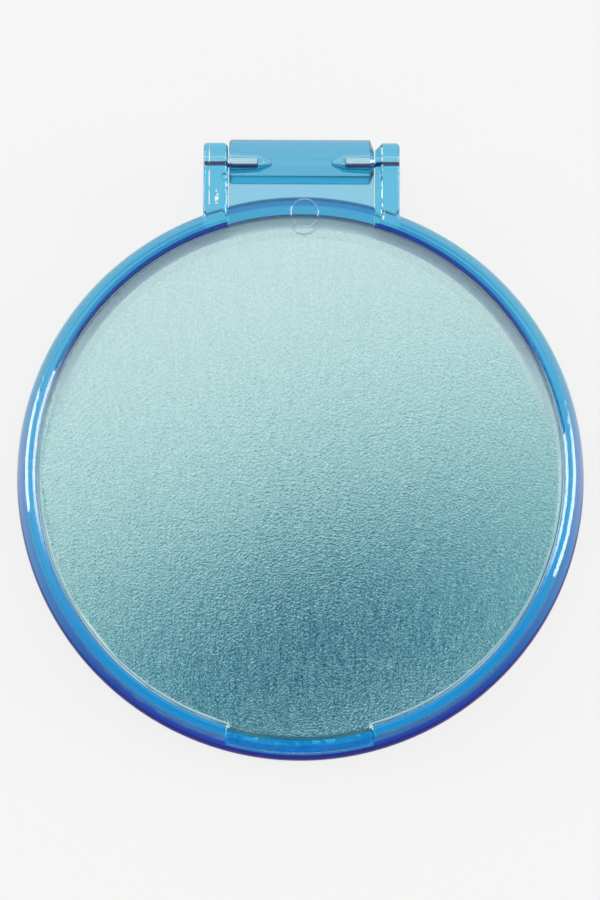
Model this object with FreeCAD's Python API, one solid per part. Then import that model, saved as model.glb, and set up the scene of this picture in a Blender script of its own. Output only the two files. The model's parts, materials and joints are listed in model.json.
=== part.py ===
import FreeCAD, Part
import os
from math import sqrt

from FreeCAD import Vector

# A round pocket mirror, closed. Millimetres, +Z up, +Y towards the hinge.
# The origin is the middle of the base tray's flat bottom face.

# Base tray
body_diameter = 62.0
body_height = 6.5
widest_height = 1.5  # height of the line where the flank is widest
rim_inset = 1.07  # from the widest line in to the rim's ridge
foot_inset = 0.1  # from the widest line in to the bevel of the foot
rim_top_width = 1.15  # from the ridge in to the pocket's wall
ridge_bevel = 0.36  # in plan, as is the pocket's bevel
pocket_bevel = 0.34
bevel_drop = 0.25  # height of both bevels of the rim
foot_bevel = 0.1  # in plan and in height
pocket_corner_round = 0.4
floor_thickness = 1.4

# Mirror and its fixing, from the floor up
adhesive_diameter = 45.0
adhesive_thickness = 0.5
backing_thickness = 0.1
glass_thickness = 1.5
glass_arris = 0.03  # ground edge of the glass
mirror_side_gap = 0.04

# Lid plate
lid_clearance = 0.8  # from the glass up to the lid's inner face
lid_thickness = 1.4
lid_side_gap = 0.33
lid_shift = 0.12  # plate set towards the tab, so that its hinge side swings clear of the rim
lid_edge_round = 0.2
seat_gap = 0.1  # under the closed lid's web and tab

# Ejector mark, a shallow round groove where the web meets the plate
mark_offset = 0.35  # to the right of the middle
mark_inset = 2.2  # inside the widest line of the tray
mark_radius = 1.5
mark_groove = 0.12
mark_depth = 0.05

# Hinge
hinge_standoff = 3.7  # from the tray's widest line out to the hinge axis
hinge_drop = 0.3  # from the lid's inner face down to the hinge axis
barrel_radius = 2.5
barrel_length = 15.9
barrel_round = 0.35  # left end
barrel_chamfer = 0.45  # right end, along the axis
barrel_chamfer_depth = 1.2  # right end, towards the axis
barrel_flat = 2.1  # from the axis out to the sloping flat that faces the rim
barrel_side_gap = 0.13
ear_width = 2.66
ear_reach = 1.95  # from the axis out to the ear's tip
ear_drop = 2.8  # from the axis down to the ear's underside
ear_top_bend = 1.4
ear_bottom_bend = 2.0
ear_edge_round = 0.4  # outer edges of both ears
ear_inner_round = 0.6  # inner edge of the left ear
ear_inner_chamfer = 0.8  # inner edge of the right ear
ear_root_round = 1.2
ear_mark_offset = 2.1  # from the axis in to a small round dimple on each ear
ear_mark_left = 0.42
ear_mark_right = 0.3

# Hinge pins and the blind bores that they turn in
pin_radius = 0.6
pin_length = 5.9
pin_recess = 0.1  # pin's outer end below the ear's outer face
pin_chamfer = 0.12
pin_running_gap = 0.05
pin_end_gap = 0.15
bore_draft = 0.15  # mouth of the bore wider than where the pin ends
bore_cone_length = 1.3
bore_tip_radius = 0.25

# Thumb tab and its notch in the rim
tab_width = 15.75
tab_inset = 0.4  # tab's outer edge inside the tray's widest line
tab_corner_round = 0.6
tab_edge_round = 0.35
tab_side_gap = 0.15
nib_reach = 0.35  # small pointed nib on the tab's right end
nib_slope = 1.1  # from the nib's point back along the tab's end
nib_nose = 0.25  # from the nib's point forward along the tab's end
nib_inset = 2.15  # nib's point inside the tray's widest line

# Places that follow from the sizes above
body_radius = body_diameter / 2
pocket_radius = body_radius - rim_inset - rim_top_width
lid_radius = pocket_radius - lid_side_gap
mirror_radius = pocket_radius - mirror_side_gap
backing_bottom = floor_thickness + adhesive_thickness
glass_bottom = backing_bottom + backing_thickness
glass_top = glass_bottom + glass_thickness
lid_bottom = glass_top + lid_clearance
lid_top = lid_bottom + lid_thickness
seat_height = lid_bottom - seat_gap
hinge_height = lid_bottom - hinge_drop
ear_bottom = hinge_height - ear_drop
axis_y = body_radius + hinge_standoff
barrel_half = barrel_length / 2
ear_inner = barrel_half + barrel_side_gap
ear_outer = ear_inner + ear_width
ear_back = sqrt(pocket_radius**2 - ear_outer**2) - rim_top_width
ear_tip = axis_y + ear_reach
pin_outer_end = ear_outer - pin_recess
pin_inner_end = pin_outer_end - pin_length
bore_radius = pin_radius + pin_running_gap
tab_half = tab_width / 2
tab_radius = body_radius - tab_inset
flat_angle = 45.0  # slope of the barrel's flat, in degrees
cut_clear = 1.0  # how far a cutting shape runs past what it cuts

X_AXIS = Vector(1, 0, 0)
Z_AXIS = Vector(0, 0, 1)
ORIGIN = Vector(0, 0, 0)
HINGE_POINT = Vector(0, axis_y, hinge_height)
NEAR = 1e-4


def section(radius, height):
    """A point of a round part's half section."""
    return Vector(radius, 0, height)


def bend(centre, start, end):
    """The arc about a centre from start to end, as its middle and its end."""
    halfway = (start - centre) + (end - centre)
    halfway.normalize()
    return centre + halfway * (start - centre).Length, end


def outline(start, *steps):
    """A closed face from a start point, with a point for each line and a pair from bend for each arc."""
    edges = []
    here = start
    for step in steps:
        if isinstance(step, tuple):
            middle, there = step
            edges.append(Part.Arc(here, middle, there).toShape())
        else:
            there = step
            edges.append(Part.LineSegment(here, there).toShape())
        here = there
    edges.append(Part.LineSegment(here, start).toShape())
    return Part.Face(Part.Wire(edges))


def turned(face):
    """A round solid from a half section, about the vertical middle line."""
    return face.revolve(ORIGIN, Z_AXIS, 360)


def disc(radius, bottom, top):
    return Part.makeCylinder(radius, top - bottom, Vector(0, 0, bottom))


def block(half_width, y_low, y_high, bottom, top):
    corner = Vector(-half_width, y_low, bottom)
    return Part.makeBox(2 * half_width, y_high - y_low, top - bottom, corner)


def flank_centre(rise, inset):
    """Centre of the arc that leaves the widest line upright and comes in by inset over rise."""
    radius = (inset**2 + rise**2) / (2 * inset)
    return section(body_radius - radius, widest_height)


def tray_shell():
    """The round tray: curved flanks outside, the pocket for the mirror and the lid inside."""
    widest = section(body_radius, widest_height)
    foot = section(body_radius - foot_inset, foot_bevel)
    foot_flat = section(foot.x - foot_bevel, 0)
    ridge = section(body_radius - rim_inset, body_height - bevel_drop)
    rim_start = section(ridge.x - ridge_bevel, body_height)
    rim_end = section(pocket_radius + pocket_bevel, body_height)
    wall_top = section(pocket_radius, body_height - bevel_drop)
    corner = section(pocket_radius - pocket_corner_round, floor_thickness + pocket_corner_round)
    wall_foot = corner + section(pocket_corner_round, 0)
    floor_end = corner - section(0, pocket_corner_round)
    return turned(
        outline(
            section(0, 0),
            foot_flat,
            foot,
            bend(flank_centre(widest_height - foot.z, foot_inset), foot, widest),
            bend(flank_centre(ridge.z - widest_height, rim_inset), widest, ridge),
            rim_start,
            rim_end,
            wall_top,
            wall_foot,
            bend(corner, wall_foot, floor_end),
            section(0, floor_thickness),
        )
    )


def ear_plate(side):
    """One hinge ear: a plate with a rounded tip, side 1 for the right ear and -1 for the left."""
    x = side * ear_inner

    def at(y, z):
        return Vector(x, y, z)

    high = at(ear_tip - ear_top_bend, body_height - ear_top_bend)
    low = at(ear_tip - ear_bottom_bend, ear_bottom + ear_bottom_bend)
    top_end = high + Vector(0, 0, ear_top_bend)
    tip_high = high + Vector(0, ear_top_bend, 0)
    tip_low = low + Vector(0, ear_bottom_bend, 0)
    bottom_end = low - Vector(0, 0, ear_bottom_bend)
    face = outline(
        at(ear_back, body_height),
        top_end,
        bend(high, top_end, tip_high),
        tip_low,
        bend(low, tip_low, bottom_end),
        at(ear_back, ear_bottom),
    )
    return face.extrude(Vector(side * ear_width, 0, 0))


def edges_on_side(solid, x):
    """The edges of a plate's side face at x, without the back edge that lies in the rim."""
    return [
        edge
        for edge in solid.Edges
        if abs(edge.BoundBox.XMin - x) < NEAR
        and abs(edge.BoundBox.XMax - x) < NEAR
        and edge.BoundBox.YMax > ear_back + NEAR
    ]


def ear(side):
    plate = ear_plate(side)
    plate = plate.makeFillet(ear_edge_round, edges_on_side(plate, side * ear_outer))
    inner_edges = edges_on_side(plate, side * ear_inner)
    if side > 0:
        return plate.makeChamfer(ear_inner_chamfer, inner_edges)
    return plate.makeFillet(ear_inner_round, inner_edges)


def ear_root(side):
    """The round gusset in the corner between an ear's outer face and the rim."""
    rim_circle = body_radius - rim_inset - ridge_bevel
    bottom = ear_bottom + ear_edge_round
    centre_x = ear_outer + ear_root_round
    centre_y = sqrt((rim_circle + ear_root_round) ** 2 - centre_x**2)
    centre = Vector(side * centre_x, centre_y, bottom)
    on_ear = Vector(side * ear_outer, centre_y, bottom)
    share = rim_circle / (rim_circle + ear_root_round)
    on_rim = Vector(centre.x * share, centre.y * share, bottom)
    sunk_x = side * (ear_outer - ear_edge_round)
    face = outline(
        on_ear,
        bend(centre, on_ear, on_rim),
        Vector(sunk_x, on_rim.y, bottom),
        Vector(sunk_x, centre_y, bottom),
    )
    return face.extrude(Vector(0, 0, body_height - ear_edge_round - bottom))


def along_hinge(radius, start, end):
    """A cylinder on the hinge axis from x = start to x = end."""
    low = min(start, end)
    base = HINGE_POINT + Vector(low, 0, 0)
    return Part.makeCylinder(radius, abs(end - start), base, X_AXIS)


def cone_on_hinge(start, start_radius, end, end_radius):
    """A cone on the hinge axis, with its two ends and their radii."""
    way = 1 if end > start else -1
    base = HINGE_POINT + Vector(start, 0, 0)
    return Part.makeCone(start_radius, end_radius, abs(end - start), base, X_AXIS * way)


def ear_mark(side):
    """The small round dimple beside each ear's inner edge."""
    radius = ear_mark_right if side > 0 else ear_mark_left
    edge_width = ear_inner_chamfer if side > 0 else ear_inner_round
    place = Vector(side * (ear_inner + edge_width / 2), axis_y - ear_mark_offset, body_height)
    return Part.makeSphere(radius, place)


def nib_prism(grow, bottom, top):
    """The nib on the tab's right end, or with grow the groove that clears it."""
    point_y = nib_inset - body_radius
    back_y = point_y + nib_slope + grow
    front_y = point_y - nib_nose - grow
    sunk_x = tab_half - nib_reach
    face = outline(
        Vector(sunk_x, front_y, bottom),
        Vector(tab_half, front_y, bottom),
        Vector(tab_half + nib_reach + grow, point_y, bottom),
        Vector(tab_half, back_y, bottom),
        Vector(sunk_x, back_y, bottom),
    )
    return face.extrude(Vector(0, 0, top - bottom))


def slot_flare(side):
    """Carries the bevel of an ear's inner edge on across the rim, to the pocket."""
    width = ear_inner_chamfer if side > 0 else ear_inner_round / 2
    over = width + cut_clear
    inner_x = side * (ear_inner - cut_clear)
    face = outline(
        Vector(inner_x, 0, body_height - over),
        Vector(side * (ear_inner + over), 0, body_height + cut_clear),
        Vector(inner_x, 0, body_height + cut_clear),
    )
    return face.extrude(Vector(0, body_radius, 0))


def base_tray():
    over = body_height + cut_clear
    far = ear_tip + cut_clear
    inside_rim = disc(pocket_radius + rim_top_width / 2, 0, over)
    shell = tray_shell()
    for side in (-1, 1):
        shell = shell.fuse(ear(side).fuse(ear_root(side)).cut(inside_rim))
    hinge_slot = block(ear_inner, 0, far, seat_height, over)
    thumb_notch = block(tab_half + tab_side_gap, -far, 0, seat_height, over)
    shell = shell.cut([hinge_slot, thumb_notch, nib_prism(tab_side_gap, seat_height, over)])
    for side in (-1, 1):
        pin_hole = along_hinge(pin_radius, side * barrel_half, side * (ear_outer + cut_clear))
        shell = shell.cut([pin_hole, slot_flare(side), ear_mark(side)])
    return shell.removeSplitter()


def hinge_pin(side):
    shank = along_hinge(pin_radius, side * pin_inner_end, side * pin_outer_end)
    return shank.makeChamfer(pin_chamfer, [e for e in shank.Edges if e.Closed])


def lid_plate():
    """The round plate of the lid, set a little towards the tab."""
    bottom = section(lid_radius - lid_edge_round, lid_bottom + lid_edge_round)
    top = section(lid_radius - lid_edge_round, lid_top - lid_edge_round)
    out = section(lid_edge_round, 0)
    up = section(0, lid_edge_round)
    half_section = outline(
        section(0, lid_bottom),
        bottom - up,
        bend(bottom, bottom - up, bottom + out),
        top + out,
        bend(top, top + out, top + up),
        section(0, lid_top),
    )
    plate = turned(half_section)
    plate.translate(Vector(0, -lid_shift, 0))
    return plate


def lid_barrel():
    """The hinge barrel: its left end rounded, its right end chamfered, a flat under the web."""
    left = -barrel_half
    right = barrel_half
    round_start = left + barrel_round
    chamfer_start = right - barrel_chamfer
    shank = along_hinge(barrel_radius, left, chamfer_start)
    left_edge = [
        edge
        for edge in shank.Edges
        if edge.Closed and abs(edge.BoundBox.XMax - left) < round_start - left
    ]
    shank = shank.makeFillet(barrel_round, left_edge)
    small = barrel_radius - barrel_chamfer_depth
    shank = shank.fuse(cone_on_hinge(chamfer_start, barrel_radius, right, small))
    below_flat = block(
        barrel_half + cut_clear,
        axis_y - barrel_radius,
        axis_y + barrel_radius,
        hinge_height - barrel_radius - cut_clear,
        hinge_height - barrel_flat,
    )
    below_flat.rotate(HINGE_POINT, X_AXIS, -flat_angle)
    return shank.cut(below_flat)


def hinge_bore(side):
    """A blind bore for a pin: a slight draft past the pin's end, then a sharper taper."""
    shank_end = pin_inner_end - pin_end_gap
    tip = shank_end - bore_cone_length
    shank = cone_on_hinge(side * barrel_half, bore_radius + bore_draft, side * shank_end, bore_radius)
    return shank.fuse(cone_on_hinge(side * shank_end, bore_radius, side * tip, bore_tip_radius))


def thumb_tab():
    """The tab at the front of the lid: straight ends, rounded corners, an arc for its outer edge."""
    corner_x = tab_half - tab_corner_round
    corner_y = -sqrt((tab_radius - tab_corner_round) ** 2 - corner_x**2)
    share = tab_radius / (tab_radius - tab_corner_round)
    root_y = -sqrt((lid_radius - lid_edge_round) ** 2 - tab_half**2) - lid_shift
    left = Vector(-corner_x, corner_y, lid_bottom)
    right = Vector(corner_x, corner_y, lid_bottom)
    left_side = Vector(-tab_half, corner_y, lid_bottom)
    right_side = Vector(tab_half, corner_y, lid_bottom)
    left_front = Vector(left.x * share, left.y * share, lid_bottom)
    right_front = Vector(right.x * share, right.y * share, lid_bottom)
    face = outline(
        Vector(-tab_half, root_y, lid_bottom),
        left_side,
        bend(left, left_side, left_front),
        bend(Vector(0, 0, lid_bottom), left_front, right_front),
        bend(right, right_front, right_side),
        Vector(tab_half, root_y, lid_bottom),
    )
    tab = face.extrude(Vector(0, 0, lid_thickness))
    level_edges = [
        edge
        for edge in tab.Edges
        if edge.BoundBox.ZLength < NEAR and edge.BoundBox.YMin < root_y - NEAR
    ]
    return tab.makeFillet(tab_edge_round, level_edges)


def ejector_groove():
    """The ejector mark: a ring of V section sunk in the lid's face."""
    half = mark_groove / 2
    face = outline(
        section(mark_radius - half, lid_top),
        section(mark_radius, lid_top - mark_depth),
        section(mark_radius + half, lid_top),
    )
    ring = turned(face)
    ring.translate(Vector(mark_offset, body_radius - mark_inset, 0))
    return ring


def lid():
    web_back = sqrt((lid_radius - lid_edge_round) ** 2 - barrel_half**2) - lid_shift
    web = block(barrel_half, web_back, axis_y, lid_bottom, lid_top)
    nib = nib_prism(0, lid_bottom + tab_edge_round, lid_top - tab_edge_round)
    whole = lid_plate().fuse([web, lid_barrel(), thumb_tab(), nib])
    return whole.cut([hinge_bore(-1), hinge_bore(1), ejector_groove()]).removeSplitter()


def mirror_glass():
    glass = disc(mirror_radius, glass_bottom, glass_top)
    return glass.makeChamfer(glass_arris, [e for e in glass.Edges if e.Closed])


def mirror_backing():
    return disc(mirror_radius - glass_arris, backing_bottom, glass_bottom)


def adhesive_pad():
    return disc(adhesive_diameter / 2, floor_thickness, backing_bottom)


def main():
    pieces = {
        "base_tray": base_tray(),
        "lid": lid(),
        "hinge_pin_left": hinge_pin(-1),
        "hinge_pin_right": hinge_pin(1),
        "mirror_glass": mirror_glass(),
        "mirror_backing": mirror_backing(),
        "adhesive_pad": adhesive_pad(),
    }
    os.makedirs("parts", exist_ok=True)
    for name, shape in pieces.items():
        shape.exportStep(f"parts/{name}.step")
        size = shape.optimalBoundingBox()
        print(
            f"{name}: {len(shape.Solids)} solid, valid {shape.isValid()}, "
            f"{size.XLength:.2f} x {size.YLength:.2f} x {size.ZLength:.2f} mm, "
            f"{shape.Volume:.1f} mm3"
        )


main()
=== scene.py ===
import json
import math

import bmesh
import bpy
from mathutils import Euler, Matrix, Vector


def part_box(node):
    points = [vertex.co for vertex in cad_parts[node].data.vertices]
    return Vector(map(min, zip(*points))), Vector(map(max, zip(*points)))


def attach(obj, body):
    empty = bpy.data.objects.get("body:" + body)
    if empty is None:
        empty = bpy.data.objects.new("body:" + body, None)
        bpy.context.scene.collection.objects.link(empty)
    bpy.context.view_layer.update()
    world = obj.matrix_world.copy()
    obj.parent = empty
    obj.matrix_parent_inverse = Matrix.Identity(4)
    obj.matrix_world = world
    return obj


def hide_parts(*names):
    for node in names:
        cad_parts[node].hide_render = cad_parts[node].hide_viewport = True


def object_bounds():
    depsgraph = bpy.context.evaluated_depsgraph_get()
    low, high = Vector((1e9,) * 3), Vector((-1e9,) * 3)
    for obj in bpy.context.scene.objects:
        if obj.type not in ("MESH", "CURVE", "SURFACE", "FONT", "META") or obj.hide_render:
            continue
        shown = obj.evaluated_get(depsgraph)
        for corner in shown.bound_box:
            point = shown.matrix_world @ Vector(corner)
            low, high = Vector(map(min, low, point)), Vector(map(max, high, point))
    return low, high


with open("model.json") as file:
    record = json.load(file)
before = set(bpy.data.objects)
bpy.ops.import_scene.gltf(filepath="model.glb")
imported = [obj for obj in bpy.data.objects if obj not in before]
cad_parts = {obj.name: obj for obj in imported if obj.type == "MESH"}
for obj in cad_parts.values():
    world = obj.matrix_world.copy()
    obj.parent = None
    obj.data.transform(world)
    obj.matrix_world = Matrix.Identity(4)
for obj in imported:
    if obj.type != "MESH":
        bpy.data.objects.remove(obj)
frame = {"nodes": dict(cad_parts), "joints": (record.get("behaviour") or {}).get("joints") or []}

cad_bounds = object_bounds()
scene = bpy.context.scene
MM = 0.001
white = (1.0, 1.0, 1.0)

# Places read from the frame
glass_low, glass_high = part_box("mirror_glass")
backing_low, backing_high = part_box("mirror_backing")
pad_low, pad_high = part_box("adhesive_pad")
hinge_point = Vector(frame["joints"][0]["pos_m"])
glass_middle = (glass_low + glass_high) / 2
mirror_radius = glass_high.x - glass_middle.x
tray_top = cad_bounds[1].z

# Both mouldings. A dye's colour and its density per metre say what the depth of plastic takes off.
plastic_index = 1.58
tray_dye = (0.20, 0.79, 0.918)
tray_dye_density = 550.0
lid_dye = (0.20, 0.72, 0.88)
lid_dye_density = 250.0
face_play = 0.02 * MM
edge_round = 0.1 * MM
edge_samples = 3

# Lid: its heights, and the shades along the edge of its plate
lid_face = glass_high.z + 2.2 * MM
lid_half_height = glass_high.z + 1.5 * MM
lid_under = glass_high.z + 0.8 * MM
lid_middle = Vector((0.0, -0.12, 0.0)) * MM
lid_edge_start = (28.15 * MM, 28.25 * MM)
lid_edge_end = (28.5 * MM, 28.6 * MM)
# Painted shade: the plate's edge round is darkened, much more by the hinge.
lid_edge_shade_tint = (0.5, 0.65, 0.8)
lid_edge_back_shade_tint = (0.06, 0.12, 0.25)
lid_edge_roughness = 0.35
by_hinge_band = (2.0 * MM, 20.0 * MM)
shade_band = (28.1 * MM, 28.45 * MM)
shade_tint = (0.13, 0.26, 0.32)
blur_band = (26.9 * MM, 27.6 * MM)
blur_roughness = 0.65

# Lid: frosted field
field_middle = Vector((0.0, -0.3, 0.0)) * MM
field_radius = 28.8 * MM
field_edge = 0.06 * MM
frost_roughness = 0.05
frost_grain = 0.17 * MM
frost_depth = 0.0085 * MM
frost_low_tint = (0.90, 0.90, 0.90)
grain_limits = (0.3, 0.7)

# Lid: clear web, barrel and tab
polish_roughness = 0.03
clear_shine = (0.65, 0.85, 0.95)
# Painted shade: the deeper blue under the clear web and barrel stands for the blue shade of the floor
# seen through them.
underside_shade_tint = (0.12, 0.47, 0.74)
underside_roughness = 0.15
tab_tint = (0.0004, 0.26, 0.72)
tab_light_tint = (0.002, 0.36, 0.84)
tab_shine = (0.20, 0.70, 0.95)
tab_mottle = 0.6 * MM
mottle_limits = (0.4, 0.7)
chip_tint = (0.75, 0.92, 0.97)
chip_size = 0.9 * MM
chip_limits = (0.55, 0.6)
chip_band = (28.95 * MM, 29.45 * MM)
# Painted shade: a dark line under the lid along the mirror's edge, in front.
line_start = (28.42 * MM, 28.50 * MM)
line_end = (28.84 * MM, 28.92 * MM)
line_shade_tint = (0.03, 0.09, 0.11)
bore_zone = 1.0 * MM
bore_roughness = 0.12
flat_distance = 2.1 * MM
flat_way = (0.0, -math.sqrt(0.5), -math.sqrt(0.5))
flat_tint = (0.0, 0.92, 1.0)

# Lid: ring mark
mark_middle = Vector((0.35, 28.8, 0.0)) * MM
mark_radius = 1.5 * MM
mark_half_width = 0.09 * MM
mark_depth = 0.06 * MM
mark_tint = (0.20, 0.46, 0.65)
mark_gloss = 0.4

# Tray: rim, pocket wall and hinge slot. The flank, the pocket's wall by the hinge and the slot carry
# painted shade.
tray_ripple = 2.5 * MM
tray_ripple_depth = 0.003 * MM
ripple_limits = (0.35, 0.75)
tray_roughness = (0.015, 0.05)
ear_side = (10.7 * MM, 11.0 * MM)
flank_start = (29.95 * MM, 30.05 * MM)
flank_tint = (0.12, 0.50, 0.80)
# Painted shade and painted reflection: at grazing angles the flank has a dark tinted gloss, and its front
# edge a dark purple line.
flank_edge = (30.72 * MM, 30.9 * MM)
flank_edge_front = (3.0 * MM, -6.0 * MM)
flank_edge_shade_tint = (0.10, 0.075, 0.42)
flank_edge_reflection_tint = (0.14, 0.15, 0.60)
flank_painted_gloss = 0.8
flank_roughness = 0.05
grazing = (0.5, 0.62)
wall_start = (28.3 * MM, 28.5 * MM)
wall_end = (28.82 * MM, 28.9 * MM)
wall_back = (4.0 * MM, 16.0 * MM)
# Painted shade and painted reflection: a dark blue band on the pocket's wall by the hinge, at grazing
# angles.
wall_shade_tint = (0.10, 0.17, 0.62)
wall_reflection_tint = (0.26, 0.33, 0.74)
wall_roughness = 0.2
slot_floor = glass_high.z + 0.7 * MM
slot_band = (29.65 * MM, 29.85 * MM)
# Painted shade in the hinge slot under the barrel, paler at the slot's inner side.
slot_shade_tint = (0.014, 0.36, 0.74)
slot_inner_shade_tint = (0.55, 1.0, 1.0)

# Tray: colours that change along the rim, each with its place along Y. They are painted shade and painted
# reflection, darker towards the front.
crown_shade_tints = [
    (-18.0 * MM, (0.11, 0.64, 0.95)),
    (-4.0 * MM, (0.70, 0.862, 1.0)),
    (4.0 * MM, (0.70, 0.862, 1.0)),
    (18.0 * MM, white),
]
flank_shade_tints = [
    (-30.0 * MM, (0.09, 0.15, 0.60)),
    (-23.0 * MM, (0.09, 0.17, 0.60)),
    (-16.0 * MM, (0.10, 0.26, 0.68)),
    (-10.0 * MM, (0.12, 0.32, 0.74)),
    (0.0 * MM, (0.22, 0.38, 0.85)),
    (14.0 * MM, (0.16, 0.55, 0.82)),
]
flank_reflection_tints = [
    (-30.0 * MM, (0.14, 0.15, 0.60)),
    (-23.0 * MM, (0.20, 0.25, 0.65)),
    (-16.0 * MM, (0.35, 0.60, 0.85)),
    (-10.0 * MM, (0.50, 0.80, 0.95)),
    (0.0 * MM, (0.90, 0.97, 1.0)),
    (14.0 * MM, (0.55, 0.90, 0.95)),
]

# Tray: wear on the hinge ears, and painted highlights along their edges
scuff_places = [(-9.27 * MM, 30.3 * MM), (8.9 * MM, 28.6 * MM)]
scuff_reach = (0.25 * MM, 1.1 * MM, 1.0 * MM)
scuff_soft_edge = (0.6, 1.0)
scuff_grain = 0.22 * MM
scuff_limits = (0.5, 0.6)
# The lines along the ears' edges are partly wear and partly painted highlight.
wear_and_highlight_lines = [-10.1 * MM, -8.15 * MM, 8.82 * MM]
wear_and_highlight_line_half_width = 0.07 * MM
wear_and_highlight_break = 0.8 * MM
wear_and_highlight_limits = (0.42, 0.55)
wear_and_highlight_from = 29.5 * MM
wear_and_highlight_depth = 0.4 * MM
# Pale colour of the scuffs and of the painted highlights.
wear_and_highlight_tint = (0.92, 0.96, 1.0)
wear_and_highlight_roughness = 0.35

# Mirror
glass_index = 1.52
glass_dye = (0.55, 0.92, 0.78)
glass_dye_density = 18.0
glass_arris = 0.03 * MM
glass_roughness = (0.01, 0.35)
silver_lap = 0.01 * MM
silver_inset = 0.05 * MM
silver_tint = (0.93, 0.935, 0.93)
silver_dark_tint = (0.05, 0.10, 0.14)
silver_dark_edge = 0.22 * MM
silver_smear = 9.0 * MM
smear_limits = (0.3, 0.8)
silver_roughness = (0.01, 0.03)
paint_mottle = 1.2 * MM
paint_tones = [(0.27, 0.28, 0.29), (0.34, 0.35, 0.36)]
paint_depth = 0.02 * MM
paint_roughness = 0.6
facing_up = 0.5

# Pins and pad
pin_play = 0.015 * MM
pin_chamfer = 0.12 * MM
pin_steps = 48
pin_grain = 0.06 * MM
pin_grain_stretch = (0.08, 1.0, 1.0)
pin_tones = [(0.86, 0.87, 0.88), (0.95, 0.95, 0.96)]
pin_roughness = (0.10, 0.22)
pin_depth = 0.004 * MM
# Painted shade: the pins are dark blue on the side that faces the front.
pin_shade_side = (-0.1 * MM, -0.3 * MM)
pin_shade_tint = (0.07, 0.12, 0.70)
pad_play = 0.02 * MM
pad_bulge = 0.4
pad_bulge_step = 30
foam_cell = 0.35 * MM
foam_cell_roughness = 0.7
foam_tones = [(0.82, 0.82, 0.80), (0.93, 0.93, 0.91)]
foam_depth = 0.05 * MM
foam_roughness = 0.85

# Noise and its two-tone colours
plain_detail = 0.0
soft_detail = 2.0
rough_detail = 3.0
ragged_detail = 4.0
noise_roughness = 0.5
tone_limits = (0.3, 0.7)

# Meshes
weld_distance = 0.001 * MM
sharp_angle = math.radians(28)
flat_angle = math.radians(0.3)
round_steps = 256
round_from = 20.0 * MM
round_parts = 4
normal_weight = 100

# Camera
view_height = 98.6 * MM
camera_distance = 0.60
camera_elevation = math.radians(81.34)
camera_roll = math.radians(0.2)
camera_aim = Vector((-0.06, 3.11, 1.5)) * MM
camera_near = 0.01
sensor_size = 36.0

# Studio
floor_size = 3.0
floor_gap = 0.02 * MM
floor_shade = (0.925, 0.925, 0.925)
floor_glow = 0.87
floor_gloss = 0.1
front_shade = 0.4
back_shade = 1.0
shade_turn = (-0.7, 0.8)
ceiling_edge = (0.80, 0.93)
lowest_rise = 0.001
patch_place = Vector((1.67, -20.6, 0.0)) * MM
patch_squeeze = 0.567
patch_lean = 1.13
patch_reach = 60.0 * MM
patch_stops = [
    (0.0, (0.0, 0.0, 0.03)),
    (0.1, (0.0, 0.105, 0.20)),
    (0.175, (0.09, 0.345, 0.415)),
    (0.3, (0.395, 0.615, 0.605)),
    (0.4, (0.593, 0.76, 0.714)),
    (0.6, (0.89, 0.945, 0.866)),
    (0.85, (1.13, 1.04, 0.945)),
]
box_elevation = math.radians(19.0)
box_half_height = math.radians(6.3)
box_radiance = 12.0
box_bearings = [(58.0, 104.5), (-53.0, -90.0)]
box_growth = (-0.3, 0.6)
box_soft_edge = (0.75, 1.0)
box_tail = (0.0, 0.5)
box_end = (0.98, 1.0)
light_bounces = 24
gloss_bounces = 12

# Colour sockets of a mix node, which come after those for numbers and vectors
mix_colours = slice(6, 8)
mix_result = 2


def add(tree, kind, **settings):
    """A new node with the given settings."""
    node = tree.nodes.new(kind)
    for name, value in settings.items():
        setattr(node, name, value)
    return node


def feed(tree, socket, value):
    """Links a socket to another one, or sets it to a plain value."""
    if isinstance(value, bpy.types.NodeSocket):
        tree.links.new(value, socket)
    else:
        socket.default_value = value


def calc(tree, operation, *values):
    """The result of one sum."""
    node = add(tree, "ShaderNodeMath", operation=operation)
    for socket, value in zip(node.inputs, values):
        feed(tree, socket, value)
    return node.outputs[0]


def product(tree, *values):
    """The product of several values."""
    result = values[0]
    for value in values[1:]:
        result = calc(tree, "MULTIPLY", result, value)
    return result


def with_shares(tree, value, shares):
    """A value, raised by each (share, extra)."""
    for share, extra in shares:
        value = calc(tree, "MULTIPLY_ADD", share, extra, value)
    return value


def vector_calc(tree, operation, *values):
    """The result of one vector sum."""
    node = add(tree, "ShaderNodeVectorMath", operation=operation)
    for socket, value in zip(node.inputs, values):
        feed(tree, socket, value)
    return node.outputs["Value" if operation in ("LENGTH", "DOT_PRODUCT") else "Vector"]


def ramp(tree, value, low, high, at_low=0.0, at_high=1.0):
    """A smooth step of a value between two limits."""
    node = add(tree, "ShaderNodeMapRange", interpolation_type="SMOOTHSTEP")
    limits = {"From Min": low, "From Max": high, "To Min": at_low, "To Max": at_high}
    feed(tree, node.inputs["Value"], value)
    for name, limit in limits.items():
        feed(tree, node.inputs[name], limit)
    return node.outputs["Result"]


def ring(tree, radius, start, end):
    """Share of the ring between two soft circles."""
    return product(tree, ramp(tree, radius, *start), ramp(tree, radius, *end, 1.0, 0.0))


def blend(tree, share, start, end):
    """A colour between two colours."""
    node = add(tree, "ShaderNodeMix", data_type="RGBA")
    feed(tree, node.inputs["Factor"], share)
    for socket, colour in zip(node.inputs[mix_colours], (start, end)):
        feed(tree, socket, (*colour, 1.0) if isinstance(colour, tuple) else colour)
    return node.outputs[mix_result]


def colour_ramp(tree, value, stops):
    """A colour that runs through the given (place, colour) stops."""
    node = add(tree, "ShaderNodeValToRGB")
    elements = node.color_ramp.elements
    while len(elements) < len(stops):
        elements.new(0.5)
    for element, (place, colour) in zip(elements, stops):
        element.position = place
        element.color = (*colour, 1.0)
    feed(tree, node.inputs["Fac"], value)
    return node.outputs["Color"]


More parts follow.
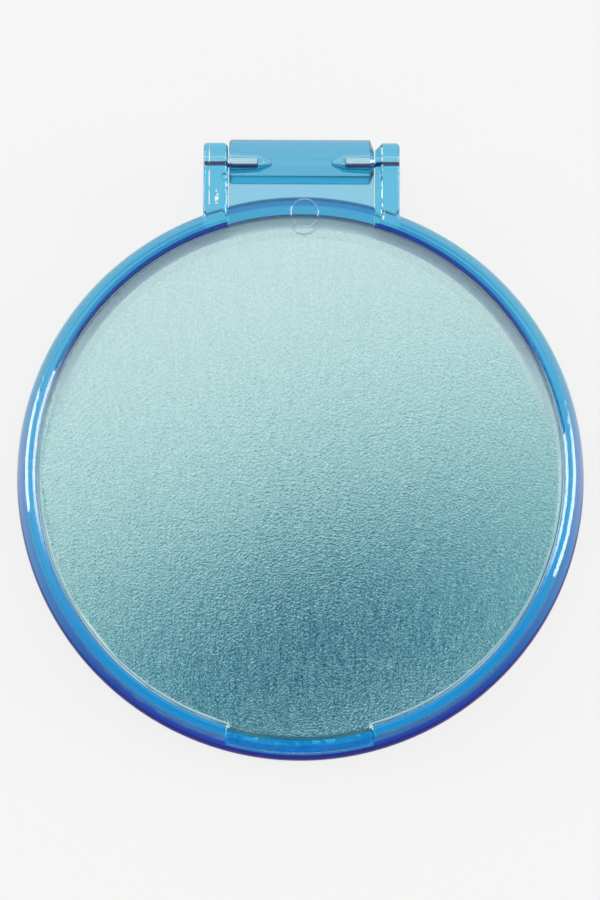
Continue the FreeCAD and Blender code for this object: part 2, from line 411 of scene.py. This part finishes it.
def colour_along(tree, y, zones):
    """A colour that runs along Y through the given (place, colour) zones."""
    start = zones[0][0]
    span = zones[-1][0] - start
    share = calc(tree, "DIVIDE", calc(tree, "SUBTRACT", y, start), span)
    return colour_ramp(tree, share, [((place - start) / span, colour) for place, colour in zones])


def two_tones(tree, value, tones):
    """A colour that runs between two tones with a noise."""
    return colour_ramp(tree, value, list(zip(tone_limits, tones)))


def noise(tree, place, size, detail=soft_detail, roughness=noise_roughness):
    """A soft noise with features of about the given size."""
    node = add(tree, "ShaderNodeTexNoise")
    feed(tree, node.inputs["Vector"], place)
    node.inputs["Scale"].default_value = 1.0 / size
    node.inputs["Detail"].default_value = detail
    node.inputs["Roughness"].default_value = roughness
    return node.outputs["Fac"]


def bump(tree, height, depth, strength=1.0, under=None):
    """A normal bumped by a height of 0 to 1 that stands for the given depth."""
    node = add(tree, "ShaderNodeBump")
    feed(tree, node.inputs["Height"], height)
    feed(tree, node.inputs["Strength"], strength)
    node.inputs["Distance"].default_value = depth
    if under is not None:
        feed(tree, node.inputs["Normal"], under)
    return node.outputs["Normal"]


def soft_edges(tree):
    """Normals that run smoothly over the small rounds of a moulding's edges."""
    node = add(tree, "ShaderNodeBevel", samples=edge_samples)
    node.inputs["Radius"].default_value = edge_round
    return node.outputs["Normal"]


def object_place(tree):
    """A place in the shared frame at rest, which goes along with a moving piece."""
    return add(tree, "ShaderNodeTexCoord").outputs["Object"]


def split_place(tree, place):
    """The three coordinates of a place."""
    node = add(tree, "ShaderNodeSeparateXYZ")
    feed(tree, node.inputs[0], place)
    return node.outputs


def radius_from(tree, place, middle):
    """Distance in plan from an upright middle line."""
    offset = vector_calc(tree, "SUBTRACT", place, middle)
    return vector_calc(tree, "LENGTH", vector_calc(tree, "MULTIPLY", offset, (1.0, 1.0, 0.0)))


def spot(tree, place, middle, reach):
    """A soft spot of the given reach along each axis."""
    offset = vector_calc(tree, "DIVIDE", vector_calc(tree, "SUBTRACT", place, middle), reach)
    return ramp(tree, vector_calc(tree, "LENGTH", offset), *scuff_soft_edge, 1.0, 0.0)


def from_inside(tree):
    """1 where a face is seen from inside its solid, and 0 elsewhere."""
    return add(tree, "ShaderNodeNewGeometry").outputs["Backfacing"]


def grazing_painted_gloss(tree):
    """Share of the dark tinted gloss, painted shade and painted reflection, that the tray has on its
    outside at grazing angles.
    """
    outside = calc(tree, "SUBTRACT", 1.0, from_inside(tree))
    facing = add(tree, "ShaderNodeLayerWeight").outputs["Facing"]
    return product(tree, outside, ramp(tree, facing, *grazing))


def new_material(name):
    """A material, its node tree and its main shader."""
    material = bpy.data.materials.new(name)
    material.use_nodes = True
    tree = material.node_tree
    return material, tree, tree.nodes["Principled BSDF"]


def new_clear_material(name, index, dye, density):
    """A clear material with a dye, which colours by the depth that light crosses."""
    material, tree, shader = new_material(name)
    shader.inputs["Transmission Weight"].default_value = 1.0
    shader.inputs["IOR"].default_value = index
    absorption = add(tree, "ShaderNodeVolumeAbsorption")
    absorption.inputs["Color"].default_value = (*dye, 1.0)
    absorption.inputs["Density"].default_value = density
    tree.links.new(absorption.outputs["Volume"], tree.nodes["Material Output"].inputs["Volume"])
    return material, tree, shader


def ear_wear_and_highlights(tree, place, along):
    """Share of bright scuffs, and of broken edge lines that are partly wear and partly painted highlight,
    on top of the two hinge ears.
    """
    pits = ramp(tree, noise(tree, place, scuff_grain), *scuff_limits)
    broken = ramp(tree, noise(tree, place, wear_and_highlight_break), *wear_and_highlight_limits)
    on_ear = calc(tree, "GREATER_THAN", along["Y"], wear_and_highlight_from)
    on_top = calc(tree, "GREATER_THAN", along["Z"], tray_top - wear_and_highlight_depth)
    wear_and_highlights = 0.0
    for x, y in scuff_places:
        scuff = product(tree, spot(tree, place, (x, y, tray_top), scuff_reach), pits)
        wear_and_highlights = calc(tree, "MAXIMUM", wear_and_highlights, scuff)
    for x in wear_and_highlight_lines:
        aside = calc(tree, "ABSOLUTE", calc(tree, "SUBTRACT", along["X"], x))
        line = ramp(tree, aside, wear_and_highlight_line_half_width / 2, wear_and_highlight_line_half_width, 1.0, 0.0)
        wear_and_highlights = calc(tree, "MAXIMUM", wear_and_highlights, product(tree, line, broken, on_ear, on_top))
    return wear_and_highlights


def tray_zones(tree, place, along, radius):
    """Shares of the parts of the tray's skin that differ in colour or finish."""
    in_front = calc(tree, "LESS_THAN", along["Y"], 0.0)
    off_ears = ramp(tree, calc(tree, "ABSOLUTE", along["X"]), *ear_side)
    on_rim = calc(tree, "MAXIMUM", in_front, off_ears)
    edge_front = ramp(tree, along["Y"], *flank_edge_front)
    painted_gloss = grazing_painted_gloss(tree)
    wall = ring(tree, radius, wall_start, wall_end)
    return {
        "crown": ramp(tree, radius, *wall_end),
        "flank": product(tree, ramp(tree, radius, *flank_start), on_rim),
        "flank_shade_line": product(tree, ramp(tree, radius, *flank_edge), edge_front),
        "painted_gloss": painted_gloss,
        "wall": wall,
        "back_wall_shade": product(tree, wall, ramp(tree, along["Y"], *wall_back), painted_gloss),
        "slot_shade": calc(tree, "COMPARE", along["Z"], slot_floor, face_play),
        "wear_and_highlights": ear_wear_and_highlights(tree, place, along),
    }


def tray_tint(tree, y, radius, zones):
    """Tint of the tray's skin. Painted shade makes the rim deeper blue towards the front, and darkens the
    flank's front edge, the pocket's wall by the hinge and the hinge slot; the ears carry pale wear and
    painted highlights.
    """
    shade_gloss_tint = blend(tree, zones["flank_shade_line"], colour_along(tree, y, flank_shade_tints), flank_edge_shade_tint)
    slot_shade = blend(tree, ramp(tree, radius, *slot_band), slot_inner_shade_tint, slot_shade_tint)
    tint = blend(tree, zones["crown"], white, colour_along(tree, y, crown_shade_tints))
    tint = blend(tree, zones["flank"], tint, blend(tree, zones["painted_gloss"], flank_tint, shade_gloss_tint))
    tint = blend(tree, zones["back_wall_shade"], tint, wall_shade_tint)
    tint = blend(tree, zones["slot_shade"], tint, slot_shade)
    return blend(tree, zones["wear_and_highlights"], tint, wear_and_highlight_tint)


def tray_shine(tree, y, zones):
    """Tint of what the tray's skin mirrors: painted reflection on the flank and on the pocket's wall by
    the hinge, darker towards the front.
    """
    shine = blend(tree, zones["flank_shade_line"], colour_along(tree, y, flank_reflection_tints), flank_edge_reflection_tint)
    shine = blend(tree, zones["flank"], white, shine)
    return blend(tree, zones["back_wall_shade"], shine, wall_reflection_tint)


def base_plastic():
    """Clear dyed plastic. At grazing angles its rim and its pocket's wall have a dark tinted gloss, which
    is painted shade and painted reflection.
    """
    material, tree, shader = new_clear_material("base_plastic", plastic_index, tray_dye, tray_dye_density)
    place = object_place(tree)
    along = split_place(tree, place)
    radius = radius_from(tree, place, (0.0, 0.0, 0.0))
    zones = tray_zones(tree, place, along, radius)
    feed(tree, shader.inputs["Base Color"], tray_tint(tree, along["Y"], radius, zones))
    feed(tree, shader.inputs["Specular Tint"], tray_shine(tree, along["Y"], zones))
    skin = product(tree, zones["flank"], flank_painted_gloss, zones["painted_gloss"])
    metal = calc(tree, "MAXIMUM", skin, calc(tree, "MAXIMUM", zones["back_wall_shade"], zones["wear_and_highlights"]))
    feed(tree, shader.inputs["Metallic"], metal)
    flow = noise(tree, place, tray_ripple, rough_detail)
    rough = ramp(tree, flow, *ripple_limits, *tray_roughness)
    uneven = [(zones["flank"], flank_roughness), (zones["wall"], wall_roughness)]
    uneven += [(zones["wear_and_highlights"], wear_and_highlight_roughness)]
    feed(tree, shader.inputs["Roughness"], with_shares(tree, rough, uneven))
    feed(tree, shader.inputs["Normal"], bump(tree, flow, tray_ripple_depth, under=soft_edges(tree)))
    return material


def lid_edge_zones(tree, place, along, on_face):
    """Shares of the plate's edge, and of the shade and the blur on its face by the hinge."""
    radius = radius_from(tree, place, lid_middle)
    within = ramp(tree, radius, *lid_edge_end, 1.0, 0.0)
    by_hinge = ramp(tree, along["Y"], *by_hinge_band)
    off_face = calc(tree, "SUBTRACT", 1.0, on_face)
    off_under = calc(tree, "GREATER_THAN", along["Z"], lid_under + face_play)
    return {
        "by_hinge": by_hinge,
        "edge": product(tree, ramp(tree, radius, *lid_edge_start), within, off_face, off_under),
        "shade": product(tree, ramp(tree, radius, *shade_band), within, on_face, by_hinge),
        "blur": product(tree, ramp(tree, radius, *blur_band), within, on_face, by_hinge),
    }


def barrel_flat(tree, from_axis, z):
    """Share of the flat on the barrel's underside, as it is seen through the barrel."""
    offset = vector_calc(tree, "DOT_PRODUCT", from_axis, flat_way)
    on_plane = calc(tree, "COMPARE", offset, flat_distance, face_play)
    return product(tree, on_plane, calc(tree, "LESS_THAN", z, hinge_point.z), from_inside(tree))


def ring_mark(tree, place, z):
    """Share of the gloss in the ring mark's groove."""
    off_ring = calc(tree, "SUBTRACT", radius_from(tree, place, mark_middle), mark_radius)
    off_ring = calc(tree, "ABSOLUTE", off_ring)
    groove = ramp(tree, off_ring, mark_half_width / 2, mark_half_width, mark_gloss, 0.0)
    return product(tree, groove, calc(tree, "GREATER_THAN", z, lid_face - mark_depth))


def lid_zones(tree, place, along, radius):
    """Shares of the parts of the lid's skin that differ in colour or finish."""
    from_axis = vector_calc(tree, "SUBTRACT", place, hinge_point)
    axis_distance = vector_calc(tree, "LENGTH", vector_calc(tree, "MULTIPLY", from_axis, (0.0, 1.0, 1.0)))
    bore = calc(tree, "LESS_THAN", axis_distance, bore_zone)
    field = ramp(tree, radius, field_radius - field_edge, field_radius + field_edge, 1.0, 0.0)
    on_face = calc(tree, "GREATER_THAN", along["Z"], lid_face - face_play)
    in_front = calc(tree, "LESS_THAN", along["Y"], 0.0)
    low = calc(tree, "LESS_THAN", along["Z"], lid_half_height)
    off_field = calc(tree, "SUBTRACT", 1.0, field)
    return {
        "field": field,
        "in_front": in_front,
        "bore": bore,
        "frost": product(tree, on_face, calc(tree, "MAXIMUM", field, in_front)),
        "clear_part": product(tree, calc(tree, "SUBTRACT", low, bore), off_field),
        "line": product(tree, ring(tree, radius, line_start, line_end), low, in_front),
        "flat": barrel_flat(tree, from_axis, along["Z"]),
        "mark": ring_mark(tree, place, along["Z"]),
        **lid_edge_zones(tree, place, along, on_face),
    }


def tab_colour(tree, place, radius):
    """Mottled blue of the tab, with pale chips along the mirror's edge beside it."""
    mottle = ramp(tree, noise(tree, place, tab_mottle, rough_detail), *mottle_limits)
    chip = ramp(tree, noise(tree, place, chip_size, ragged_detail), *chip_limits)
    chip = product(tree, chip, ramp(tree, radius, *chip_band, 1.0, 0.0))
    return blend(tree, chip, blend(tree, mottle, tab_tint, tab_light_tint), chip_tint)


def lid_tint(tree, place, radius, zones, grain):
    """Tint of the lid's skin: grained white on the frosted field, blue below the clear parts, which under
    the web and barrel is painted shade. Painted shade also darkens the plate's edge, its face by the
    hinge and a line in front.
    """
    below = blend(tree, zones["in_front"], underside_shade_tint, tab_colour(tree, place, radius))
    low_grain = product(tree, zones["frost"], ramp(tree, grain, *grain_limits, 1.0, 0.0))
    edge_shade_tint = blend(tree, zones["by_hinge"], lid_edge_shade_tint, lid_edge_back_shade_tint)
    tinted = [(zones["clear_part"], below), (low_grain, frost_low_tint), (zones["line"], line_shade_tint)]
    tinted += [(zones["edge"], edge_shade_tint), (zones["shade"], shade_tint)]
    tinted += [(zones["flat"], flat_tint), (zones["mark"], mark_tint)]
    tint = white
    for share, colour in tinted:
        tint = blend(tree, share, tint, colour)
    return tint


def lid_plastic():
    """Clear plastic, frosted on its outer face. Below the clear web and barrel a deeper blue is painted
    as the blue shade of the floor seen through them; below the tab it is a mottled blue.
    """
    material, tree, shader = new_clear_material("lid_plastic", plastic_index, lid_dye, lid_dye_density)
    place = object_place(tree)
    along = split_place(tree, place)
    radius = radius_from(tree, place, field_middle)
    zones = lid_zones(tree, place, along, radius)
    grain = noise(tree, place, frost_grain, plain_detail)
    feed(tree, shader.inputs["Base Color"], lid_tint(tree, place, radius, zones, grain))
    feed(tree, shader.inputs["Metallic"], calc(tree, "MAXIMUM", zones["flat"], zones["mark"]))
    shine = blend(tree, zones["in_front"], clear_shine, tab_shine)
    feed(tree, shader.inputs["Specular Tint"], blend(tree, zones["field"], shine, white))
    uneven = [(zones["frost"], frost_roughness - polish_roughness)]
    uneven += [(zones["clear_part"], underside_roughness), (zones["edge"], lid_edge_roughness)]
    uneven += [(zones["bore"], bore_roughness), (zones["blur"], blur_roughness)]
    feed(tree, shader.inputs["Roughness"], with_shares(tree, polish_roughness, uneven))
    feed(tree, shader.inputs["Normal"], bump(tree, grain, frost_depth, zones["frost"], soft_edges(tree)))
    return material


def clear_glass():
    """Mirror glass with a ground edge."""
    material, tree, shader = new_clear_material("mirror_glass", glass_index, glass_dye, glass_dye_density)
    shader.inputs["Base Color"].default_value = (*white, 1.0)
    radius = radius_from(tree, object_place(tree), glass_middle)
    ground = (mirror_radius - 2 * glass_arris, mirror_radius - glass_arris)
    feed(tree, shader.inputs["Roughness"], ramp(tree, radius, *ground, *glass_roughness))
    return material


def mirror_silver():
    """Silvering that is dark along its cut edge."""
    material, tree, shader = new_material("mirror_silver")
    place = object_place(tree)
    rim = mirror_radius - silver_inset
    dark = ramp(tree, radius_from(tree, place, glass_middle), rim - silver_dark_edge, rim)
    smear = noise(tree, place, silver_smear)
    shader.inputs["Metallic"].default_value = 1.0
    feed(tree, shader.inputs["Base Color"], blend(tree, dark, silver_tint, silver_dark_tint))
    feed(tree, shader.inputs["Roughness"], ramp(tree, smear, *smear_limits, *silver_roughness))
    return material


def backing_paint():
    """Mottled grey paint on the mirror's back."""
    material, tree, shader = new_material("backing_paint")
    mottle = noise(tree, object_place(tree), paint_mottle, ragged_detail)
    feed(tree, shader.inputs["Base Color"], two_tones(tree, mottle, paint_tones))
    shader.inputs["Roughness"].default_value = paint_roughness
    feed(tree, shader.inputs["Normal"], bump(tree, mottle, paint_depth))
    return material


def pin_steel():
    """Drawn steel, with painted shade in dark blue on the side that faces the front."""
    material, tree, shader = new_material("pin_steel")
    place = object_place(tree)
    drawn = noise(tree, vector_calc(tree, "MULTIPLY", place, pin_grain_stretch), pin_grain)
    from_axis = calc(tree, "SUBTRACT", split_place(tree, place)["Y"], hinge_point.y)
    in_front = ramp(tree, from_axis, *pin_shade_side)
    shader.inputs["Metallic"].default_value = 1.0
    tone = blend(tree, in_front, two_tones(tree, drawn, pin_tones), pin_shade_tint)
    feed(tree, shader.inputs["Base Color"], tone)
    feed(tree, shader.inputs["Roughness"], ramp(tree, drawn, *tone_limits, *pin_roughness))
    feed(tree, shader.inputs["Normal"], bump(tree, drawn, pin_depth))
    return material


def pad_foam():
    """White foam with fine cells."""
    material, tree, shader = new_material("adhesive_foam")
    cells = noise(tree, object_place(tree), foam_cell, rough_detail, foam_cell_roughness)
    feed(tree, shader.inputs["Base Color"], two_tones(tree, cells, foam_tones))
    shader.inputs["Roughness"].default_value = foam_roughness
    feed(tree, shader.inputs["Normal"], bump(tree, cells, foam_depth))
    return material


def floor_paper():
    """Pale paper that keeps a soft shadow, and looks evenly pale through clear plastic and glass."""
    material, tree, shader = new_material("floor_paper")
    shader.inputs["Base Color"].default_value = (*floor_shade, 1.0)
    shader.inputs["Roughness"].default_value = 1.0
    shader.inputs["Specular IOR Level"].default_value = 0.0
    glow = add(tree, "ShaderNodeEmission")
    glow.inputs["Color"].default_value = (*floor_shade, 1.0)
    path = add(tree, "ShaderNodeLightPath").outputs
    seen = calc(tree, "MULTIPLY", path["Is Camera Ray"], floor_glow)
    seen = calc(tree, "MAXIMUM", seen, calc(tree, "MULTIPLY", path["Is Glossy Ray"], floor_gloss))
    seen = calc(tree, "MAXIMUM", seen, path["Is Transmission Ray"])
    mix = add(tree, "ShaderNodeMixShader")
    for socket, value in zip(mix.inputs, (seen, shader.outputs[0], glow.outputs[0])):
        feed(tree, socket, value)
    feed(tree, tree.nodes["Material Output"].inputs["Surface"], mix.outputs[0])
    return material


def place_piece(name, mesh, body, node_name, materials):
    """Puts a mesh in the scene, riding on a body and standing for a node."""
    piece = bpy.data.objects.new(name, mesh)
    scene.collection.objects.link(piece)
    for material in materials:
        mesh.materials.append(material)
    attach(piece, body)
    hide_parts(node_name)
    return piece


def shade_smooth(form):
    """Shades a form smoothly between its sharp edges."""
    for face in form.faces:
        face.smooth = True
    for edge in form.edges:
        edge.smooth = edge.calc_face_angle(0.0) < sharp_angle


def runs_round(edge, middle):
    """Tells an edge that runs round an upright middle line, where the skin turns at it."""
    start, end = (vertex.co - middle for vertex in edge.verts)
    level = abs(start.z - end.z) < weld_distance
    even = abs(start.xy.length - end.xy.length) < weld_distance
    return level and even and start.xy.length > round_from and edge.calc_face_angle(0.0) > flat_angle


def follow_rounds(form, middle):
    """Splits the edges that run round a middle line and lays them on their circles."""
    low = Vector(min(vertex.co[axis] for vertex in form.verts) for axis in range(3))
    high = Vector(max(vertex.co[axis] for vertex in form.verts) for axis in range(3))
    circle = form.verts.layers.float.new("circle")
    for vertex in form.verts:
        vertex[circle] = (vertex.co - middle).xy.length
    edges = [edge for edge in form.edges if runs_round(edge, middle)]
    split = bmesh.ops.subdivide_edges(form, edges=edges, cuts=round_parts - 1)
    for vertex in split["geom_inner"]:
        if isinstance(vertex, bmesh.types.BMVert):
            place = middle.xy + (vertex.co - middle).xy.normalized() * vertex[circle]
            vertex.co.x = min(max(place.x, low.x), high.x)
            vertex.co.y = min(max(place.y, low.y), high.y)
    bmesh.ops.triangulate(form, faces=form.faces)


def welded_mesh(node_name, mesh_name, middle):
    """A copy of a node's mesh with its seams joined, so that it shades as one skin."""
    source = frame["nodes"][node_name].data
    points = [vertex.co[:] for vertex in source.vertices]
    faces = [tuple(face.vertices) for face in source.polygons]
    mesh = bpy.data.meshes.new(mesh_name)
    mesh.from_pydata(points, [], faces)
    form = bmesh.new()
    form.from_mesh(mesh)
    bmesh.ops.remove_doubles(form, verts=form.verts, dist=weld_distance)
    follow_rounds(form, middle)
    shade_smooth(form)
    form.to_mesh(mesh)
    form.free()
    return mesh


def moulding(node_name, piece_name, middle, body, material):
    """A moulded piece on the skin of its node."""
    mesh = welded_mesh(node_name, piece_name, middle)
    piece = place_piece(piece_name, mesh, body, node_name, [material])
    weighting = piece.modifiers.new("even_normals", "WEIGHTED_NORMAL")
    weighting.keep_sharp = True
    weighting.weight = normal_weight


def turned_mesh(name, profile, lay, steps=round_steps):
    """A solid of revolution. The profile runs in (radius, height) from pole to pole, and lay
    turns (radius, angle, height) into a point."""
    form = bmesh.new()
    rings = []
    for radius, height in profile:
        turns = range(steps) if radius > 0.0 else range(1)
        rings.append([form.verts.new(lay(radius, math.tau * turn / steps, height)) for turn in turns])
    for low, high in zip(rings, rings[1:]):
        for turn in range(steps):
            after = (turn + 1) % steps
            corners = [low[turn % len(low)], low[after % len(low)]]
            corners += [high[after % len(high)], high[turn % len(high)]]
            form.faces.new(list(dict.fromkeys(corners)))
    bmesh.ops.recalc_face_normals(form, faces=form.faces)
    shade_smooth(form)
    mesh = bpy.data.meshes.new(name)
    form.to_mesh(mesh)
    form.free()
    return mesh


def upright(middle):
    """Lays a round part about an upright line through the given point."""

    def lay(radius, angle, height):
        return Vector((middle.x + radius * math.cos(angle), middle.y + radius * math.sin(angle), height))

    return lay


def along_hinge(radius, angle, height):
    """Lays a round part about the hinge's axis."""
    out = Vector((0.0, math.cos(angle), math.sin(angle))) * radius
    return Vector((height, hinge_point.y, hinge_point.z)) + out


def hinge_pin(side, material):
    """A drawn steel pin with a chamfer at each end."""
    node_name = "hinge_pin_" + side
    low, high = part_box(node_name)
    radius = (high.z - low.z) / 2 - pin_play
    neck = radius - pin_chamfer
    near = low.x + pin_play
    far = high.x - pin_play
    profile = [(0.0, near), (neck, near), (radius, near + pin_chamfer)]
    profile += [(radius, far - pin_chamfer), (neck, far), (0.0, far)]
    mesh = turned_mesh("pin_" + side, profile, along_hinge, pin_steps)
    place_piece("pin_" + side, mesh, "base", node_name, [material])


def glass_disc(material):
    """The mirror's glass, with a small arris along both edges."""
    neck = mirror_radius - glass_arris
    profile = [(0.0, glass_low.z), (neck, glass_low.z), (mirror_radius, glass_low.z + glass_arris)]
    profile += [(mirror_radius, glass_high.z - glass_arris), (neck, glass_high.z), (0.0, glass_high.z)]
    mesh = turned_mesh("glass_disc", profile, upright(glass_middle))
    place_piece("glass_disc", mesh, "base", "mirror_glass", [material])


def mirror_coat(silver, paint):
    """Silvering that lies just inside the glass, with grey paint under it."""
    middle = (backing_low + backing_high) / 2
    radius = backing_high.x - middle.x - silver_inset
    top = backing_high.z + silver_lap
    profile = [(0.0, top), (radius, top), (radius, backing_low.z), (0.0, backing_low.z)]
    mesh = turned_mesh("mirror_coat", profile, upright(middle))
    place_piece("mirror_coat", mesh, "base", "mirror_backing", [silver, paint])
    for face in mesh.polygons:
        face.material_index = 0 if face.normal.z > facing_up else 1


def foam_pad(material):
    """A die-cut foam disc whose edge bulges a little."""
    middle = (pad_low + pad_high) / 2
    radius = pad_high.x - middle.x - pad_play
    low = pad_low.z + pad_play
    high = pad_high.z - pad_play
    half = (high - low) / 2
    profile = [(0.0, low)]
    for degrees in range(-90, 91, pad_bulge_step):
        angle = math.radians(degrees)
        inset = half * pad_bulge * (1 - math.cos(angle))
        profile.append((radius - inset, low + half + half * math.sin(angle)))
    profile.append((0.0, high))
    mesh = turned_mesh("foam_pad", profile, upright(middle))
    place_piece("foam_pad", mesh, "base", "adhesive_pad", [material])


def dress_part():
    """Puts a dressed piece in the place of each node."""
    moulding("base_tray", "tray_moulding", Vector(), "base", base_plastic())
    moulding("lid", "lid_moulding", lid_middle, "lid", lid_plastic())
    steel = pin_steel()
    for side in ("left", "right"):
        hinge_pin(side, steel)
    mirror_coat(mirror_silver(), backing_paint())
    foam_pad(pad_foam())
    glass_disc(clear_glass())


def camera_place():
    """Where the camera stands, on the front side and high above the part."""
    back = Vector((0.0, -math.cos(camera_elevation), math.sin(camera_elevation)))
    return camera_aim + back * camera_distance


def photo_camera():
    """The photo's view."""
    lens = bpy.data.cameras.new("camera")
    lens.sensor_width = sensor_size
    lens.lens = sensor_size * camera_distance / view_height
    lens.clip_start = camera_near
    camera = bpy.data.objects.new("camera", lens)
    camera.location = camera_place()
    tilt = Euler((math.pi / 2 - camera_elevation, 0.0, 0.0)).to_matrix()
    camera.rotation_euler = (tilt @ Matrix.Rotation(camera_roll, 3, "Z")).to_euler()
    scene.collection.objects.link(camera)
    scene.camera = camera


def studio_floor():
    """A sheet of pale paper just under the part."""
    mesh = bpy.data.meshes.new("floor")
    half = floor_size / 2
    corners = [(-half, -half, 0.0), (half, -half, 0.0), (half, half, 0.0), (-half, half, 0.0)]
    mesh.from_pydata(corners, [], [(0, 1, 2, 3)])
    mesh.materials.append(floor_paper())
    floor = bpy.data.objects.new("floor", mesh)
    floor.location.z = cad_bounds[0].z - floor_gap
    scene.collection.objects.link(floor)


def soft_box(tree, along, tail, end):
    """Share of a low soft box that is full at one bearing and thins out towards another.
    Bearings run clockwise from the hinge."""
    bearing = calc(tree, "ARCTAN2", along["X"], along["Y"])
    length = calc(tree, "DIVIDE", calc(tree, "SUBTRACT", bearing, tail), end - tail)
    rise = calc(tree, "SUBTRACT", calc(tree, "ARCSINE", along["Z"]), box_elevation)
    half_height = calc(tree, "MULTIPLY", ramp(tree, length, *box_growth), box_half_height)
    inside = calc(tree, "DIVIDE", calc(tree, "ABSOLUTE", rise), half_height)
    band = ramp(tree, inside, *box_soft_edge, 1.0, 0.0)
    return product(tree, band, ramp(tree, length, *box_tail), ramp(tree, length, *box_end, 1.0, 0.0))


def studio_ceiling(tree, along):
    """A pale ceiling with a soft dark patch, which the camera sees in the mirror at patch_place."""
    rise = calc(tree, "MAXIMUM", along["Z"], lowest_rise)
    eye = camera_place()
    reach = eye.z - glass_high.z
    across = calc(tree, "DIVIDE", along["X"], rise)
    ahead = calc(tree, "DIVIDE", along["Y"], rise)
    across = calc(tree, "MULTIPLY_ADD", across, reach, eye.x - patch_place.x)
    ahead = calc(tree, "MULTIPLY_ADD", ahead, reach, eye.y - patch_place.y)
    leaned = calc(tree, "MULTIPLY_ADD", ahead, -patch_lean, across)
    corner = add(tree, "ShaderNodeCombineXYZ")
    feed(tree, corner.inputs["X"], calc(tree, "MULTIPLY", leaned, patch_squeeze))
    feed(tree, corner.inputs["Y"], ahead)
    spread = calc(tree, "DIVIDE", vector_calc(tree, "LENGTH", corner.outputs[0]), patch_reach)
    return colour_ramp(tree, spread, patch_stops)


def studio_world():
    """A studio that is greyer in front than behind, with a pale ceiling and a low soft box on
    each side."""
    world = bpy.data.worlds.new("studio")
    scene.world = world
    world.use_nodes = True
    tree = world.node_tree
    along = split_place(tree, add(tree, "ShaderNodeTexCoord").outputs["Generated"])
    walls = ramp(tree, along["Y"], *shade_turn, front_shade, back_shade)
    overhead = ramp(tree, along["Z"], *ceiling_edge)
    shade = blend(tree, overhead, walls, studio_ceiling(tree, along))
    for tail, end in box_bearings:
        box = soft_box(tree, along, math.radians(tail), math.radians(end))
        shade = blend(tree, box, shade, (box_radiance, box_radiance, box_radiance))
    feed(tree, tree.nodes["Background"].inputs["Color"], shade)


def set_stage():
    """Camera, floor and light."""
    scene.view_settings.view_transform = "Standard"
    scene.cycles.max_bounces = light_bounces
    scene.cycles.transmission_bounces = light_bounces
    scene.cycles.glossy_bounces = gloss_bounces
    photo_camera()
    studio_floor()
    studio_world()


dress_part()
set_stage()
